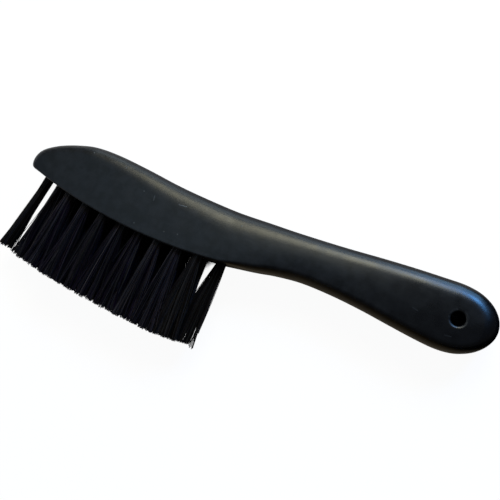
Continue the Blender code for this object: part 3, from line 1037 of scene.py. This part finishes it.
def nylon_colour(tree, where, strand, groups):
    """Violet black, with some filaments browner and some paler, brown tufts at the ends, and painted
    highlights on the roots and toe flanks.
    """
    tone = use_group(tree, groups["tone"], where, NYLON_TONE)
    lightness = math_node(tree, "MULTIPLY", tone, ramp_node(tree, strand, *LIGHT_SPAN))
    colour = colour_mix(tree, lightness, DEEP_BLACK, VIOLET_BLACK)
    colour = colour_mix(tree, ramp_node(tree, strand, *BROWN_SPAN), colour, BROWN_BLACK)
    colour = colour_mix(tree, attribute(tree, "brown"), colour, END_BLACK)
    # The pale layer shows more towards the roots: a painted highlight there
    lit_root_share = ramp_node(tree, attribute(tree, "out"), 1.0, 0.0, *LIT_ROOT_SHARES)
    pale = math_node(tree, "MULTIPLY", attribute(tree, "pale"), lit_root_share)
    pale = math_node(tree, "MULTIPLY", pale, strand)
    glint = ramp_node(tree, strand, *GLINT_SPAN, 0.0, GLINT_SHARE)
    colour = colour_mix(tree, math_node(tree, "ADD", pale, glint, clamp=True), colour, PALE_STRAND)
    dust = use_group(tree, groups["dust"], where, NYLON_DUST)
    return colour_mix(tree, math_node(tree, "MULTIPLY", dust, NYLON_DUST_SHARE), colour, DUST)


def bristle_material(groups):
    """Black nylon filament with a soft sheen, each filament a little different."""
    material, tree, shader = new_material("black_bristle")
    where = object_place(tree)
    strand = add_node(tree, "ShaderNodeNewGeometry").outputs["Random Per Island"]
    rough = ramp_node(tree, strand, 0.0, 1.0, *NYLON_ROUGHNESS, smooth=False)
    relief = use_group(tree, groups["grain"], where, NYLON_GRAIN)
    dress_shader(tree, shader, nylon_colour(tree, where, strand, groups), rough, relief)
    shader.inputs["IOR"].default_value = NYLON_IOR
    return material


def steel_material(groups):
    """Bright rolled steel strip, with the fine lines of rolling and a little unevenness."""
    material, tree, shader = new_material("anchor_steel")
    where = object_place(tree)
    tone = use_group(tree, groups["tone"], where, STEEL_TONE)
    rough = use_group(tree, groups["tone"], where, STEEL_ROUGHNESS)
    relief = use_group(tree, groups["grain"], where, STEEL_GRAIN)
    dress_shader(tree, shader, colour_mix(tree, tone, BRIGHT_STEEL, DULL_STEEL), rough, relief)
    shader.inputs["Metallic"].default_value = 1.0
    return material


# Stage


def camera_axes():
    """The camera's own right, up and back directions."""
    right = Vector((math.cos(CAMERA_ROLL), math.sin(CAMERA_ROLL), 0))
    up = Vector((-math.sin(CAMERA_ROLL), math.cos(CAMERA_ROLL), 0))
    back = Vector((0, 0, 1)) + right * math.tan(CAMERA_YAW) - up * math.tan(CAMERA_PITCH)
    back.normalize()
    right = (right - back * right.dot(back)).normalized()
    return right, back.cross(right), back


def add_camera():
    """The camera, which looks at the middle of the brush."""
    right, up, back = camera_axes()
    lens = bpy.data.cameras.new("camera")
    lens.sensor_width = SENSOR_WIDTH
    lens.lens = FOCAL_PIXELS * SENSOR_WIDTH / PICTURE_PIXELS
    camera = bpy.data.objects.new("camera", lens)
    turn = Matrix((right, up, back)).transposed()
    camera.matrix_world = Matrix.Translation(VIEW_CENTRE + back * CAMERA_DISTANCE) @ turn.to_4x4()
    bpy.context.scene.collection.objects.link(camera)
    bpy.context.scene.camera = camera


def add_lamp(name, azimuth, elevation, size, strength, colour):
    """A soft rectangular lamp that faces the brush."""
    turn, climb = math.radians(azimuth), math.radians(elevation)
    flat = math.cos(climb)
    towards = Vector((math.cos(turn) * flat, math.sin(turn) * flat, math.sin(climb)))
    light = bpy.data.lights.new(name, "AREA")
    light.shape = "RECTANGLE"
    light.size, light.size_y = size
    light.energy = strength * math.pi * size[0] * size[1]
    light.color = colour
    lamp = bpy.data.objects.new(name, light)
    lamp.location = VIEW_CENTRE + towards * LAMP_DISTANCE
    lamp.rotation_mode = "QUATERNION"
    lamp.rotation_quaternion = towards.to_track_quat("Z", "Y")
    bpy.context.scene.collection.objects.link(lamp)


def openness_node(tree, reach):
    """How open a place on the floor is, between nothing and one, counting what stands within reach."""
    inputs = {"Distance": reach}
    return add_node(tree, "ShaderNodeAmbientOcclusion", inputs, samples=SHADE_SAMPLES).outputs["AO"]


def mirrored_floor(tree):
    """The floor's tone as the lacquer mirrors it: a pool of shade, and black close under the brush."""
    where = object_place(tree)
    from_pool = vector_node(tree, "ABSOLUTE", vector_node(tree, "SUBTRACT", where, POOL_CENTRE))
    beside = vector_node(tree, "SUBTRACT", from_pool, POOL_HALF)
    away = vector_node(tree, "LENGTH", vector_node(tree, "MAXIMUM", beside, (0, 0, 0)))
    along = add_node(tree, "ShaderNodeSeparateXYZ", {"Vector": where}).outputs["X"]
    pool = colour_mix(tree, ramp_node(tree, away, 0, POOL_FADE), POOL_SHADE, WHITE)
    # Painted shade: the mirrored floor turns black past the butt
    pool = colour_mix(tree, ramp_node(tree, along, *POOL_END), pool, BLACK)
    return colour_mix(tree, ramp_node(tree, openness_node(tree, DEEP_REACH), *DEEP_SHARES), BLACK, pool)


def floor_material():
    """A floor that camera and lacquer see as an even white, apart from the shade close to the brush."""
    material, tree, shader = new_material("white_floor")
    shader.inputs["Base Color"].default_value = FLOOR_COLOUR
    shader.inputs["Roughness"].default_value = 1.0
    shader.inputs["Specular IOR Level"].default_value = 0.0
    path = add_node(tree, "ShaderNodeLightPath").outputs
    share = math_node(tree, "MULTIPLY", path["Is Camera Ray"], GLOW_SHARE)
    for name in ("Is Glossy Ray", "Is Transmission Ray"):
        share = math_node(tree, "MAXIMUM", share, path[name])
    openness = ramp_node(tree, openness_node(tree, SEEN_REACH), *SEEN_SHARES)
    seen = colour_mix(tree, openness, BLACK, WHITE)
    shaded = colour_mix(tree, path["Is Camera Ray"], mirrored_floor(tree), seen)
    glow = add_node(tree, "ShaderNodeEmission", {"Color": shaded, "Strength": 1.0})
    mixed = add_node(tree, "ShaderNodeMixShader", {0: share, 1: shader.outputs[0], 2: glow.outputs[0]})
    tree.links.new(mixed.outputs[0], tree.nodes["Material Output"].inputs["Surface"])
    return material


def add_floor():
    bm = bmesh.new()
    bmesh.ops.create_grid(bm, x_segments=1, y_segments=1, size=FLOOR_HALF)
    mesh = bpy.data.meshes.new("floor")
    bm.to_mesh(mesh)
    bm.free()
    mesh.materials.append(floor_material())
    floor = bpy.data.objects.new("floor", mesh)
    floor.location.z = -FLOOR_CLEARANCE
    bpy.context.scene.collection.objects.link(floor)


def add_world():
    """A faint even light from all round."""
    world = bpy.data.worlds.new("studio")
    world.use_nodes = True
    bpy.context.scene.world = world
    background = world.node_tree.nodes["Background"]
    background.inputs["Color"].default_value = WORLD_COLOUR
    background.inputs["Strength"].default_value = WORLD_STRENGTH


def main():
    add_camera()
    board_low, board_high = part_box("board")
    land_x = board_high.x - LAND_TO_HEEL - HANDLE_LENGTH
    place = Vector((land_x, board_low.y, (board_low.z + board_high.z) / 2))
    places = tufts()
    groups = {"tone": tone_group(), "grain": grain_group(), "dust": dust_group(), "mark": mark_group()}
    add_board(places, place, lacquer_material(place, groups))
    nylon = bristle_material(groups)
    steel = steel_material(groups)
    chance = random.Random(SEED)
    for tuft in places:
        add_tuft(tuft, place, nylon, chance)
        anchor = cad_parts[f"anchor_{tuft.name}"]
        anchor.data.materials.clear()
        anchor.data.materials.append(steel)
    add_floor()
    add_world()
    for lamp in LAMPS:
        add_lamp(*lamp)
    bpy.context.scene.view_settings.view_transform = "Standard"


main()
